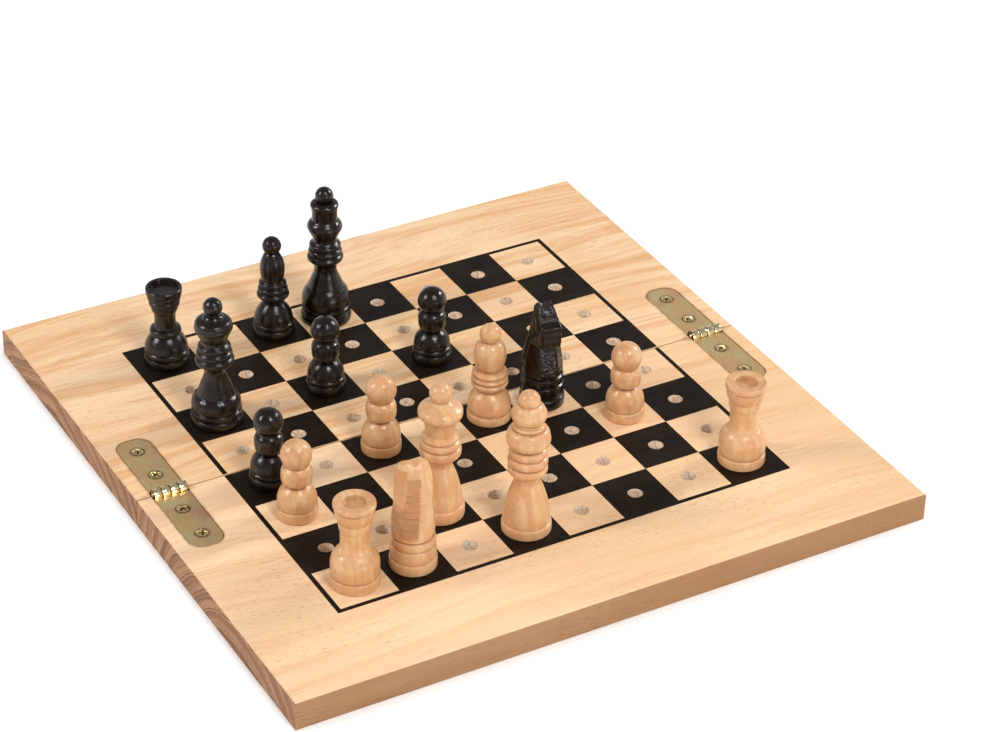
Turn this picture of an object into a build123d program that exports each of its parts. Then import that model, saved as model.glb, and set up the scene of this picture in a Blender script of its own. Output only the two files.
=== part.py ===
"""A folding travel chess set: two pine boards hinged at the middle, with pegged men standing in their holes.

Millimetres. The case lies open, playing face up. X runs along the fold, Y from the front board to the back
board, Z up. The origin is on the underside, below the middle of the fold.
"""
from build123d import *
from math import asin, atan2, cos, degrees, pi, sqrt
import os

# Driving dimensions of the boards
SQUARE = 20.0                # side of one square
FILES = 8                    # squares along the fold
RANKS = 8                    # squares across both boards
BOARD_LENGTH = 224.0         # along the fold
BOARD_WIDTH = 114.0          # from the fold line to the outer edge of one board
BOARD_THICKNESS = 10.0
SEAM = 0.2                   # gap between the two boards along the fold
FACE_ROUND = 0.8             # rounding of the outer edges of the playing face
FOLD_ROUND = 0.3             # rounding of its edge along the fold
BACK_ROUND = 0.4             # rounding of the edges of the underside
PRINT_DEPTH = 0.1            # thickness of the black print, flush with the face
PRINT_LINE = 1.6             # width of the line round the pattern
PRINT_BLEED = 0.1            # how much a printed square is larger than the square
HOLE_RADIUS = 2.5
HOLE_DEPTH = 7.0

# Driving dimensions of the men
PEG_RADIUS = 2.4             # runs in its hole with 0.1 of clearance all round
PEG_LENGTH = 6.0
PEG_CHAMFER = 0.4

# Driving dimensions of the hinges
HINGE_X = 100.6              # distance of each hinge from the middle of the fold
LEAF_WIDTH = 11.6
LEAF_LENGTH = 32.0           # from the pin to the rounded end
LEAF_THICKNESS = 1.0
LEAF_SINK = 0.1              # top of the leaf below the playing face
LEAF_CORNER = 4.8
PIN_RADIUS = 0.8
PIN_CLEARANCE = 0.05         # pin to the knuckles of the back leaf, which turns on it
PIN_END = 0.2                # how far the pin stands out of the barrel at each end
KNUCKLE_RADIUS = 2.0
KNUCKLES = 4                 # taken by the front and the back leaf in turn
KNUCKLE_GAP = 0.1
PIN_HEIGHT = BOARD_THICKNESS + 0.25
BARREL_CLEARANCE = 0.15      # a knuckle to the edge of the other leaf
TRENCH_RADIUS = 2.3          # the hollow in the fold edges that takes the barrel
POCKET_CLEARANCE = 0.2       # leaf to the edge of its pocket in the board
SCREW_DISTANCES = (10.5, 25.0)  # from the pin
SCREW_HEAD_RADIUS = 2.3
SCREW_HEAD_HEIGHT = 1.0
SCREW_RADIUS = 1.0
SCREW_LENGTH = 6.5
SCREW_SLOT_LENGTH = 3.0
SCREW_SLOT_WIDTH = 0.5
SCREW_SLOT_DEPTH = 0.5
SCREW_TURN = 37              # degrees by which each cross is turned from the one before

FRONT, BACK = -1, 1
HINGES = {"left": -HINGE_X, "right": HINGE_X}
HANGING = (Align.CENTER, Align.CENTER, Align.MAX)   # a shape that hangs down from the origin


# ---------------------------------------------------------------- boards

def square_centre(file, rank):
    """Middle of a square: files count along the fold from the left, ranks from the front."""
    return (file + 0.5 - FILES / 2) * SQUARE, (rank + 0.5 - RANKS / 2) * SQUARE


def ranks_of(side):
    return range(RANKS // 2) if side == FRONT else range(RANKS // 2, RANKS)


def squares_of(side):
    return [(file, rank) for rank in ranks_of(side) for file in range(FILES)]


def holes_of(side):
    """The drilled holes of one board, as the solids to take away."""
    drill = Cylinder(HOLE_RADIUS, HOLE_DEPTH, align=HANGING)
    return [Pos(*square_centre(*square), BOARD_THICKNESS) * drill for square in squares_of(side)]


def half_rectangle(side, length, start, end):
    """A flat rectangle that is centred on X and reaches from start to end, counted from the fold."""
    return Pos(0, side * (start + end) / 2) * Rectangle(length, end - start)


def print_of(side):
    """The black print of one board: its dark squares and the line along the pattern's three outer sides."""
    half_pattern = SQUARE * RANKS / 2
    outer = half_pattern + PRINT_LINE
    printed = half_rectangle(side, 2 * outer, 0, outer)
    printed -= half_rectangle(side, 2 * half_pattern, 0, half_pattern)
    dark_square = Rectangle(SQUARE + PRINT_BLEED, SQUARE + PRINT_BLEED)
    for file, rank in squares_of(side):
        if (file + rank) % 2:
            printed += Pos(*square_centre(file, rank)) * dark_square
    printed &= half_rectangle(side, 2 * outer, SEAM / 2 + FOLD_ROUND, outer)
    film = extrude(Pos(0, 0, BOARD_THICKNESS - PRINT_DEPTH) * printed, PRINT_DEPTH)
    return film - holes_of(side)


def blank(side):
    """A plain board with its edges eased."""
    width = BOARD_WIDTH - SEAM / 2
    middle = side * (BOARD_WIDTH + SEAM / 2) / 2
    board = Pos(0, middle, BOARD_THICKNESS / 2) * Box(BOARD_LENGTH, width, BOARD_THICKNESS)
    face_edges = board.faces().sort_by(Axis.Z)[-1].edges().sort_by(lambda edge: abs(edge.center().Y))
    board = fillet(face_edges[1:], FACE_ROUND)
    fold_edge = board.faces().sort_by(Axis.Z)[-1].edges().sort_by(lambda edge: abs(edge.center().Y))[0]
    board = fillet(fold_edge, FOLD_ROUND)
    return fillet(board.faces().sort_by(Axis.Z)[0].edges(), BACK_ROUND)


def pockets(side, x):
    """What one hinge takes out of a board: the leaf's pocket, the barrel's trench and the screw holes."""
    floor = BOARD_THICKNESS - LEAF_SINK - LEAF_THICKNESS
    outline = leaf_outline(side, POCKET_CLEARANCE)
    pocket = extrude(Pos(x, 0, floor) * outline, BOARD_THICKNESS - floor)
    trench = Pos(x, 0, PIN_HEIGHT) * lengthways(TRENCH_RADIUS, LEAF_WIDTH + 2 * (PIN_END + POCKET_CLEARANCE))
    pilot = Cylinder(SCREW_RADIUS, SCREW_LENGTH, align=HANGING)
    pilots = [Pos(x, side * distance, BOARD_THICKNESS - LEAF_SINK) * pilot for distance in SCREW_DISTANCES]
    return [pocket, trench] + pilots


def board(side):
    cuts = [print_of(side)] + holes_of(side)
    for x in HINGES.values():
        cuts += pockets(side, x)
    return blank(side) - cuts


# ---------------------------------------------------------------- hinges

def lengthways(radius, length):
    """A cylinder along X, centred on the origin."""
    return Rot(0, 90, 0) * Cylinder(radius, length)


def leaf_outline(side, margin):
    """A leaf's outline seen from above, from the pin to its rounded end, enlarged by the margin."""
    length = LEAF_LENGTH + margin
    outline = Pos(0, side * length / 2) * Rectangle(LEAF_WIDTH + 2 * margin, length)
    end_corners = outline.vertices().filter_by(lambda v: abs(v.Y) > length / 2)
    return fillet(end_corners, LEAF_CORNER)


def knuckle_spans(side):
    """Middle and length of the knuckles that belong to one leaf, along the barrel."""
    length = (LEAF_WIDTH - (KNUCKLES - 1) * KNUCKLE_GAP) / KNUCKLES
    middles = [-LEAF_WIDTH / 2 + length / 2 + n * (length + KNUCKLE_GAP) for n in range(KNUCKLES)]
    first = 0 if side == FRONT else 1
    return middles[first::2], length


def leaf(side, x):
    """One brass leaf with its knuckles; the front leaf grips the pin and the back leaf turns on it."""
    plate_floor = BOARD_THICKNESS - LEAF_SINK - LEAF_THICKNESS - PIN_HEIGHT
    plate = extrude(Pos(0, 0, plate_floor) * leaf_outline(side, 0), LEAF_THICKNESS)
    plate -= Box(LEAF_WIDTH, 2 * PIN_RADIUS, 2 * KNUCKLE_RADIUS)
    other_middles, length = knuckle_spans(-side)
    own_middles, length = knuckle_spans(side)
    relief = lengthways(KNUCKLE_RADIUS + BARREL_CLEARANCE, length + 2 * KNUCKLE_GAP)
    plate -= [Pos(middle, 0, 0) * relief for middle in other_middles]
    knuckle = lengthways(KNUCKLE_RADIUS, length)
    bore = lengthways(PIN_RADIUS + (PIN_CLEARANCE if side == BACK else 0), LEAF_WIDTH)
    body = plate + [Pos(middle, 0, 0) * knuckle for middle in own_middles] - bore
    top = BOARD_THICKNESS - LEAF_SINK - PIN_HEIGHT
    body -= [Pos(0, side * distance, top) * screw_blank() for distance in SCREW_DISTANCES]
    return Pos(x, 0, PIN_HEIGHT) * body


def pin(x):
    rod = lengthways(PIN_RADIUS, LEAF_WIDTH + 2 * PIN_END)
    rod = chamfer(rod.edges().filter_by(GeomType.CIRCLE), PIN_RADIUS / 4)
    return Pos(x, 0, PIN_HEIGHT) * rod


def screw_blank():
    """A countersunk screw without its cross, its top at the origin."""
    head = Cone(SCREW_RADIUS, SCREW_HEAD_RADIUS, SCREW_HEAD_HEIGHT, align=HANGING)
    shank = Cylinder(SCREW_RADIUS, SCREW_LENGTH, align=HANGING)
    return head + shank


def screw():
    """A countersunk cross-head screw."""
    slot = Pos(0, 0, -SCREW_SLOT_DEPTH / 2) * Box(SCREW_SLOT_LENGTH, SCREW_SLOT_WIDTH, SCREW_SLOT_DEPTH)
    return screw_blank() - [slot, Rot(0, 0, 90) * slot]


def screws(side):
    """The four screws of one board, each turned as it happened to stop."""
    places = [(x, side * distance) for x in HINGES.values() for distance in SCREW_DISTANCES]
    top = BOARD_THICKNESS - LEAF_SINK
    turned_screws = [Rot(0, 0, SCREW_TURN * (number + 1)) * screw() for number in range(len(places))]
    return Compound(children=[Pos(*place, top) * one for place, one in zip(places, turned_screws)])


# ---------------------------------------------------------------- men

# A turned man is a row of stations from its base up, each a radius, a height and, where the stretch that
# leads up to it is curved, how far that stretch bulges out (or, below zero, is hollowed).

def ball(radius, middle, neck):
    """The stations of a ball finial that stands on a neck of the given radius."""
    below = sqrt(radius ** 2 - neck ** 2)
    turn = pi / 2 + asin(below / radius)
    return [(neck, middle - below), (0, middle + radius, radius * (1 - cos(turn / 2)))]


def foot(radius, height):
    """The stations of the plain ring at the bottom, eased below, and the groove above it."""
    easing, groove = 0.4, 0.5
    return [
        (radius - easing, 0), (radius, easing), (radius, height - groove, 0.08),
        (radius - 0.2, height - 0.15), (radius - groove, height),
    ]


def rings(radii, bottom, height):
    """The stations of rounded rings, one on another, each with a fine groove above it."""
    groove, rounding = 0.45, 0.35
    stations = []
    for number, radius in enumerate(radii):
        low, high = bottom + number * height, bottom + (number + 1) * height
        stations += [(radius, low + groove / 2), (radius, high - rounding, rounding), (radius - groove, high)]
    return stations


WHITE_PAWN = foot(6.6, 3.9) + [
    (6.3, 4.3), (6.4, 6.2, 0.05), (3.3, 11.9, 0.8),
    (4.9, 13.5, 0.2), (5.0, 16.2, 0.1), (4.35, 18.4, 0.2), (3.8, 18.9),
] + ball(5.05, 22.9, 3.8)

BLACK_PAWN = foot(6.6, 3.7) + [
    (6.2, 4.1), (6.3, 5.4, 0.1), (5.9, 5.7), (6.2, 6.3), (3.0, 11.7, 0.85),
    (4.5, 13.3, 0.25), (4.7, 16.2, 0.1), (4.1, 18.3, 0.2), (3.5, 18.8),
] + ball(4.85, 23.0, 3.5)

WHITE_ROOK = foot(7.7, 3.8) + [
    (7.5, 4.2), (7.7, 7.4, 0.08), (5.7, 12.4, 0.6), (5.4, 12.6), (4.55, 16.0, -0.25), (4.55, 20.6), (4.9, 20.8),
    (5.1, 23.4, 0.1), (4.95, 23.7), (5.35, 24.0), (6.2, 27.9, 0.3), (5.95, 28.2), (6.6, 28.6), (6.65, 29.9, 0.05),
    (6.1, 30.3, 0.15), (4.1, 30.2), (3.7, 29.9, 0.1), (3.4, 28.4), (0, 28.2),
]

BLACK_ROOK = foot(7.6, 3.2) + [
    (7.3, 3.6), (7.4, 5.3, 0.12), (6.9, 5.7), (7.3, 6.2), (4.7, 11.3, 0.55), (5.2, 11.8), (5.35, 12.7, 0.1),
    (4.9, 13.7, 0.1), (3.8, 14.2), (3.55, 17.6, -0.05), (4.0, 20.4, -0.1), (4.3, 20.6), (4.6, 22.2, 0.08),
    (4.4, 22.5), (5.1, 22.9), (5.3, 24.6, 0.08), (5.05, 24.9), (5.6, 25.3), (5.75, 26.8, 0.08), (5.5, 27.1),
    (6.1, 27.4), (6.15, 29.1, 0.04), (5.9, 29.4), (4.9, 29.4), (4.5, 28.0), (0, 27.8),
]

WHITE_BISHOP = foot(7.35, 3.2) + [
    (6.95, 3.6), (7.2, 5.2, 0.05), (4.1, 11.2, 0.85), (5.6, 13.0, -0.15),
] + rings((5.85, 5.75, 5.4), 13.2, 1.85) + [
    (3.9, 19.1), (5.4, 24.2, 0.35), (4.9, 27.2, 0.1), (2.9, 29.5, 0.35), (2.6, 29.7),
] + ball(3.55, 32.2, 2.6)

BLACK_BISHOP = foot(7.2, 3.2) + [
    (6.75, 3.6), (6.8, 4.8, 0.1), (6.4, 5.1), (6.7, 5.7), (3.3, 12.2, 0.75), (5.0, 14.4, -0.2),
] + rings((5.25, 4.8, 4.4), 14.6, 2.1) + [
    (3.7, 21.1), (4.3, 25.0, 0.1), (2.6, 31.3, 0.5), (2.3, 31.6),
] + ball(3.26, 34.2, 2.2)

WHITE_QUEEN = foot(7.9, 4.5) + [
    (7.4, 4.9), (7.4, 5.8), (6.6, 9.8, 0.08), (3.8, 18.8, 0.3), (3.9, 20.9, -0.05), (5.8, 22.3, -0.15),
    (6.65, 23.6, 0.2), (6.5, 25.6, 0.15), (5.85, 26.0), (6.3, 26.3), (6.1, 28.1, 0.25), (5.5, 28.5), (5.8, 28.8),
    (5.5, 30.0, 0.2), (4.6, 30.4), (5.0, 33.5, -0.05), (5.4, 36.3, -0.05), (6.4, 36.8, 0.05), (7.05, 38.4, 0.25),
    (6.7, 39.8, 0.15), (4.9, 41.0, 0.05), (2.9, 42.2, -0.05),
] + ball(3.55, 45.05, 2.8)

BLACK_QUEEN = foot(8.6, 3.1) + [
    (8.1, 3.5), (8.3, 5.2, 0.12), (7.7, 5.6), (8.2, 6.3), (8.1, 8.2, 0.1), (6.3, 10.9, 0.35), (4.4, 16.0, 0.05),
    (3.5, 19.2, -0.1), (5.1, 22.5, -0.3),
] + rings((6.1, 5.6, 5.1), 22.7, 2.4) + [
    (4.2, 30.2), (4.2, 31.6, -0.1), (5.9, 35.2, 0.1), (6.15, 36.9, 0.3), (4.3, 39.3, 0.6), (3.5, 39.6),
    (2.2, 40.9, 0.2),
] + ball(3.2, 43.6, 2.2)

WHITE_KING = foot(7.9, 3.7) + [
    (7.45, 4.1), (7.3, 7.2, 0.03), (4.3, 18.2, 0.35), (4.3, 20.4, -0.05), (5.5, 21.6, -0.1),
] + rings((5.95, 6.0, 5.7), 21.8, 3.1) + [
    (4.9, 31.3), (6.2, 32.2), (7.0, 34.6, 0.25), (6.7, 35.9), (5.4, 37.9, 0.35), (4.6, 38.1), (4.95, 38.5),
    (4.9, 39.4, 0.15), (4.5, 39.7), (4.75, 40.0), (4.7, 40.5, 0.1), (4.4, 40.7), (5.4, 42.2, 0.2),
    (5.2, 44.7, 0.3), (3.5, 46.8, 0.2),
] + ball(3.4, 48.0, 3.15)

BLACK_KING = foot(8.6, 3.1) + [
    (8.1, 3.5), (8.4, 5.6, 0.12), (7.8, 6.0), (8.3, 6.6), (8.15, 9.3, 0.1), (6.2, 13.3, 0.35), (4.3, 18.0, 0.05),
    (3.8, 20.4, -0.1), (5.2, 23.4, -0.25),
] + rings((5.9, 5.45, 5.1), 23.6, 2.3) + [
    (4.1, 31.0), (4.1, 32.4, -0.1), (5.7, 35.6, 0.1), (5.9, 37.4, 0.25), (4.7, 39.0, 0.15), (4.4, 39.4),
    (4.4, 41.6), (4.7, 44.2, -0.08), (4.7, 45.4, 0.15), (3.4, 46.3, 0.1),
] + ball(3.15, 48.3, 2.2)

# A knight's blank, to be carved: above its rings a barrel, which opens out where the head is cut
KNIGHT_BLANK = foot(7.5, 3.9) + [
    (7.1, 4.2), (7.2, 8.2, 0.1), (6.6, 8.6), (6.9, 8.9), (6.9, 11.4, 0.12), (6.3, 11.8), (6.8, 12.3),
    (7.1, 16.0, 0.05), (7.0, 20.0), (9.6, 25.0), (9.6, 38.4), (0, 38.4),
]


def turned(stations):
    """A solid of revolution through the stations, closed along its axis."""
    edges = [Line((0, 0), (stations[0][0], stations[0][1]))]
    for before, after in zip(stations, stations[1:]):
        start, end = before[:2], after[:2]
        bulge = after[2] if len(after) > 2 else 0
        edges.append(SagittaArc(start, end, -bulge) if bulge else Line(start, end))
    edges.append(Line((0, stations[-1][1]), (0, 0)))
    half_section = make_face(Curve() + edges)
    return revolve(Plane.XZ * half_section, Axis.Z)


def peg():
    rod = Cylinder(PEG_RADIUS, PEG_LENGTH, align=HANGING)
    return chamfer(rod.edges().sort_by(Axis.Z)[0], PEG_CHAMFER)


def turned_man(stations):
    return turned(stations) + peg()


# What the knife leaves of a knight's blank: its side view, with the nose along +X, half its width at each
# height, and half its width at the cheeks and at the nose. The light knight is left stouter than the dark one.
KNIGHT_SIDE = (
    (-7.6, 11.8), (-6.9, 15.0), (-5.9, 20.5), (-4.3, 27.0), (-2.9, 33.5), (-2.4, 36.4), (-1.0, 38.2), (1.4, 38.1),
    (3.0, 36.9), (8.3, 32.9), (8.4, 27.0), (7.5, 25.5), (4.3, 24.5), (6.7, 15.0), (7.6, 11.8),
)
STOUT_FRONT = (
    (6.2, 11.8), (6.95, 14.5), (6.9, 17.5), (6.45, 21.0), (6.05, 24.5), (6.05, 28.0), (6.05, 32.0), (5.4, 35.5),
    (4.5, 38.4),
)
SLIM_FRONT = ((7.6, 11.8), (7.0, 15.5), (6.1, 20.2), (4.9, 25.6), (4.0, 30.0), (3.3, 34.5), (2.5, 38.4))
STOUT_HEAD = (6.3, 3.9)                   # half widths at the cheeks and at the nose
SLIM_HEAD = (5.0, 3.4)
KNIGHT_JAW_X, KNIGHT_NOSE_X = 1.0, 9.0    # the head narrows between these
KNIGHT_RINGS_TOP = 11.8
EAR_GAP_WIDTH = 2.2
EAR_GAP_DEPTH = 1.5
MANE_FLAT = 0.35                          # how deep the flat for the mane is cut into the back of the neck
MANE_CUTS = 9
MANE_CUT_WIDTH = 0.3
MANE_CUT_DEPTH = 0.6


def carved_head(front, head):
    """The block that the three views leave in common, from the rings up, split into two ears at the top."""
    cheek, nose = head
    top = KNIGHT_BLANK[-1][1]
    side_view = extrude(Plane.XZ * make_face(Polyline(*KNIGHT_SIDE, close=True)), 2 * cheek, both=True)
    right_side = [(y, z) for y, z in front]
    left_side = [(-y, z) for y, z in reversed(front)]
    front_view = extrude(Plane.YZ * make_face(Polyline(*right_side, *left_side, close=True)),
                         2 * KNIGHT_NOSE_X, both=True)
    wide = 2 * cheek
    near_side = [
        (-KNIGHT_NOSE_X, -wide), (-KNIGHT_JAW_X, -wide), (KNIGHT_JAW_X, -cheek), (KNIGHT_NOSE_X, -nose),
    ]
    far_side = [(x, -y) for x, y in reversed(near_side)]
    jaw = KNIGHT_SIDE[-3][1]
    plan = extrude(Pos(0, 0, jaw) * make_face(Polyline(*near_side, *far_side, close=True)), top - jaw)
    plan += Pos(0, 0, (KNIGHT_RINGS_TOP + jaw) / 2) * Box(4 * KNIGHT_NOSE_X, 2 * wide, jaw - KNIGHT_RINGS_TOP)
    half_gap = EAR_GAP_WIDTH / 2
    notch = extrude(Plane.YZ * make_face(Polyline((-half_gap, top), (0, top - EAR_GAP_DEPTH), (half_gap, top),
                                                  close=True)), KNIGHT_NOSE_X, both=True)
    return (side_view & front_view & plan) - notch


def mane_cuts():
    """Fine saw cuts across the mane, square to it, spaced up the back of the neck."""
    (low_x, low_z), (high_x, high_z) = KNIGHT_SIDE[1], KNIGHT_SIDE[4]
    lean = degrees(atan2(high_x - low_x, high_z - low_z))
    cut = Box(2 * MANE_CUT_DEPTH, 2 * STOUT_HEAD[0], MANE_CUT_WIDTH)
    cuts = []
    for number in range(MANE_CUTS):
        height = low_z + (number + 0.5) / MANE_CUTS * (high_z - low_z)
        below, above = [pair for pair in zip(KNIGHT_SIDE[1:], KNIGHT_SIDE[2:5]) if pair[0][1] <= height][-1]
        share = (height - below[1]) / (above[1] - below[1])
        back = below[0] + share * (above[0] - below[0])
        cuts.append(Pos(back, 0, height) * Rot(0, lean, 0) * cut)
    return cuts


def knight(front, head):
    blank_man = turned(KNIGHT_BLANK)
    rings_part = Pos(0, 0, KNIGHT_RINGS_TOP / 2) * Box(4 * KNIGHT_NOSE_X, 4 * KNIGHT_NOSE_X, KNIGHT_RINGS_TOP)
    return (blank_man & (carved_head(front, head) + rings_part)) - mane_cuts() + peg()


def pose(man, file, rank, heading=0):
    """Stand a man in the hole of a square; a knight's nose points at the heading, counted from +X."""
    return Pos(*square_centre(file, rank), BOARD_THICKNESS) * Rot(0, 0, heading) * man


# ---------------------------------------------------------------- assembly

# Where each man stands: its shape, then its file and rank
MEN = {
    "white_king": (turned_man(WHITE_KING), 3, 0),
    "white_queen": (turned_man(WHITE_QUEEN), 2, 1),
    "white_bishop": (turned_man(WHITE_BISHOP), 4, 3),
    "white_knight": (knight(STOUT_FRONT, STOUT_HEAD), 1, 0, 68),
    "white_rook_left": (turned_man(WHITE_ROOK), 0, 0),
    "white_rook_right": (turned_man(WHITE_ROOK), 7, 0),
    "white_pawn_left": (turned_man(WHITE_PAWN), 0, 2),
    "white_pawn_middle": (turned_man(WHITE_PAWN), 2, 3),
    "white_pawn_right": (turned_man(WHITE_PAWN), 6, 2),
    "black_king": (turned_man(BLACK_KING), 3, 7),
    "black_queen": (turned_man(BLACK_QUEEN), 0, 5),
    "black_bishop": (turned_man(BLACK_BISHOP), 2, 7),
    "black_knight": (knight(SLIM_FRONT, SLIM_HEAD), 5, 3, -100),
    "black_rook": (turned_man(BLACK_ROOK), 0, 7),
    "black_pawn_left": (turned_man(BLACK_PAWN), 0, 3),
    "black_pawn_middle": (turned_man(BLACK_PAWN), 2, 5),
    "black_pawn_right": (turned_man(BLACK_PAWN), 4, 5),
}


def build():
    """Every sub-part, by the name of its node."""
    nodes = {}
    for name, side in (("front", FRONT), ("back", BACK)):
        nodes[f"{name}_board"] = board(side)
        nodes[f"{name}_print"] = print_of(side)
        nodes[f"{name}_hinge_screws"] = screws(side)
        for end, x in HINGES.items():
            nodes[f"{end}_hinge_{name}_leaf"] = leaf(side, x)
    for end, x in HINGES.items():
        nodes[f"{end}_hinge_pin"] = pin(x)
    for name, placed_man in MEN.items():
        nodes[name] = pose(*placed_man)
    return nodes


os.makedirs("parts", exist_ok=True)
for node, shape in build().items():
    export_step(shape, f"parts/{node}.step")
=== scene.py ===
"""The looks of a folding travel chess set: two hinged pine boards with a printed pattern, and seventeen
turned men standing in their holes. Metres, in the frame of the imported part."""
import bpy
import math
import numpy as np
from mathutils import Matrix


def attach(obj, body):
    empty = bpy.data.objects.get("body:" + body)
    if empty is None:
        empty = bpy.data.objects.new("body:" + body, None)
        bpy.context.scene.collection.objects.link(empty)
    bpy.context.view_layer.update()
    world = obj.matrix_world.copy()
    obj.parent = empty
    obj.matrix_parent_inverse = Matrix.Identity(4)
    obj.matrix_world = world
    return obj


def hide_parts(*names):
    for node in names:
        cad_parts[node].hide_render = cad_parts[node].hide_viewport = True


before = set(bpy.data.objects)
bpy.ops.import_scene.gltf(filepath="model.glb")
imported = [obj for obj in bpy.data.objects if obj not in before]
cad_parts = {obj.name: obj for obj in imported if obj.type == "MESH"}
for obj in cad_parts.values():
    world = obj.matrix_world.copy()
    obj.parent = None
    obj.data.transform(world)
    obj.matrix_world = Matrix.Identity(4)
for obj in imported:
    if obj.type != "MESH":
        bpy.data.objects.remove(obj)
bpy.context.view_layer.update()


# ---- The two boards
# Flat-sawn pine planks, 10 mm thick, planed, eased along their edges and given a thin satin varnish. The
# rings of the tree run lengthways, so the faces show arches, the long edges stripes and the two short
# ends cut rings.

class Finish:
    """The node sheet of one finish, with short ways to add its nodes. A source is a socket or a value."""

    def __init__(self, name, kind=bpy.data.materials):
        self.material = kind.new(name)
        self.material.use_nodes = True
        self.tree = self.material.node_tree
        self.tree.nodes.clear()

    def add(self, kind, sources, output=0, **fields):
        """A node with its fields set and its inputs fed, by place or by name. Returns one of its outputs."""
        node = self.tree.nodes.new("ShaderNode" + kind)
        for field, value in fields.items():
            setattr(node, field, value)
        for place, source in sources.items() if isinstance(sources, dict) else enumerate(sources):
            if isinstance(source, bpy.types.NodeSocket):
                self.tree.links.new(source, node.inputs[place])
            else:
                node.inputs[place].default_value = source
        return node.outputs[output] if node.outputs else node

    def sum(self, operation, *sources, clamp=False):
        return self.add("Math", sources, operation=operation, use_clamp=clamp)

    def vector(self, operation, *sources, output=0):
        return self.add("VectorMath", sources, output, operation=operation)

    def places(self):
        """The point being shaded, in millimetres, on the piece at rest."""
        return self.stretched(self.add("TexCoord", (), "Object"), (1000, 1000, 1000))

    def stretched(self, places, scale, shift=(0, 0, 0)):
        return self.add("Mapping", {"Vector": places, "Scale": scale, "Location": shift})

    def noise(self, places, detail=2.0, roughness=0.5, output=0):
        sources = {"Vector": places, "Scale": 1.0, "Detail": detail, "Roughness": roughness}
        return self.add("TexNoise", sources, output)

    def steps(self, source, *stops):
        """A smooth run of values or colours, each stop a place from 0 to 1 and what is reached there."""
        ramp = self.tree.nodes.new("ShaderNodeValToRGB")
        self.tree.links.new(source, ramp.inputs[0])
        elements = ramp.color_ramp.elements
        while len(elements) < len(stops):
            elements.new(0.5)
        for element, (place, value) in zip(elements, stops):
            element.position = place
            element.color = (*value, 1) if isinstance(value, tuple) else (value, value, value, 1)
        return ramp.outputs[0]

    def between(self, source, low, high):
        """0 where the source is below low, 1 where it is above high, and smooth from one to the other."""
        return self.add("MapRange", {"Value": source, "From Min": low, "From Max": high},
                        interpolation_type="SMOOTHSTEP")

    def blend(self, share, first, second, how="MIX"):
        """Two colours mixed by the share of the second."""
        first, second = [(*c, 1) if isinstance(c, tuple) and len(c) == 3 else c for c in (first, second)]
        return self.add("Mix", {0: share, 6: first, 7: second}, 2, data_type="RGBA", blend_type=how)

    def tint(self, colour, cover, strength, shade):
        """The colour with a shade laid over it as far as the cover and the strength allow."""
        return self.blend(self.sum("MULTIPLY", cover, strength), colour, shade)

    def without(self, share):
        """What a share leaves of the whole."""
        return self.sum("SUBTRACT", 1.0, share)

    def drifted(self, places, noise, reach):
        """The places moved by a colour noise, up to half the reach either way along each axis."""
        return self.vector("MULTIPLY_ADD", self.vector("SUBTRACT", noise, (0.5, 0.5, 0.5)), reach, places)

    def surface(self, colour, roughness, height=None, depth=0.0001, **values):
        """The shader itself, with an optional relief whose full height is depth, in metres."""
        sources = {"Base Color": colour, "Roughness": roughness}
        sources.update({name.replace("_", " "): value for name, value in values.items()})
        if height is not None:
            sources["Normal"] = self.add("Bump", {"Height": height, "Distance": depth, "Strength": 1.0})
        shader = self.add("BsdfPrincipled", sources)
        self.add("OutputMaterial", {"Surface": shader})
        return self.material


def growth_rings(finish, places, heart, lean, taper, spacing):
    """How far each point is through its year's growth, the year's own random number, and the places bent
    by the same slow drift, for the streaks to follow. The distance from the heart's line is taken square
    to it, drifts with slow noise, grows along the plank and is feathered by fibres."""
    drift = finish.noise(finish.stretched(places, (0.008, 0.014, 0.014), heart), 1.0, 0.4, 1)
    wander = finish.noise(finish.stretched(places, (0.03, 0.12, 0.12), heart), 2.0, 0.5, 1)
    feather = finish.noise(finish.stretched(places, (0.10, 1.6, 1.6), heart), 3.0, 0.6, 1)
    moved = places
    for noise, reach in ((drift, (0, 34, 26)), (wander, (0, 2.2, 2.2)), (feather, (0, 1.3, 1.3))):
        moved = finish.drifted(moved, noise, reach)
    turned = finish.add("Mapping", {"Vector": moved, "Location": heart, "Rotation": lean})
    along = finish.add("SeparateXYZ", (turned,), 0)
    across = finish.vector("LENGTH", finish.vector("MULTIPLY", turned, (0, 1, 1)), output="Value")
    distance = finish.sum("MULTIPLY_ADD", along, taper, across)
    pace = finish.noise(finish.add("CombineXYZ", (distance, 0.0, 0.0)), 2.0)
    years = finish.sum("MULTIPLY_ADD", pace, 2.2, finish.sum("DIVIDE", distance, spacing))
    chance = finish.add("TexWhiteNoise", {"W": finish.sum("FLOOR", years)}, noise_dimensions="1D")
    flow = finish.drifted(places, drift, (0, 40, 20))
    return finish.sum("FRACT", years), chance, flow


SQUARE = 20.0
PATTERN_EDGE = 80.0                    # from the middle of the set to the edge of the squares
HOLE_RADIUS = 2.56                     # with the torn rim that the drill leaves
HINGE_MIDDLE = 100.6                   # along the fold, on either side
POCKET_CORNER = (1.1, 27.3, 10)        # from a hinge's middle to where its pocket's corners start to round


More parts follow.
